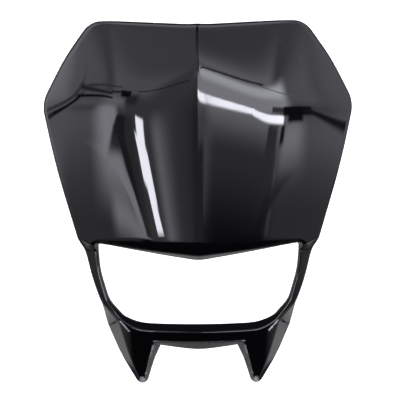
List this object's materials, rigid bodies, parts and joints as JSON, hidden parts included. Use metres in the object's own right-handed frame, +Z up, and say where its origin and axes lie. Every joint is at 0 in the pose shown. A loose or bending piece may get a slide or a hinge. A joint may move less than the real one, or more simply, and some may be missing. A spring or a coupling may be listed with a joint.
{
  "type": "motorcycle headlight mask",
  "caption": "Off-road motorcycle headlight mask: folded glossy plate over a V-browed lamp opening, with slim side arms and a chin ending in tapered fangs.",
  "frame": {"origin": "on the mirror plane, at the height of the plate's shoulders, in the plane behind the shoulders' rear edge, where the straps to the fork legs act", "axes": "+Z up along the mask, from the fangs to the crest; the glossy front faces -Y; +X to the right of someone who looks at the front; mirrored about x = 0"},
  "size_m": [0.265, 0.0976, 0.3043],
  "materials": {
    "gloss_black_plastic": "high gloss, solid black"
  },
  "bodies": {
    "root": {"mask_shell": "gloss_black_plastic"}
  },
  "joints": []
}
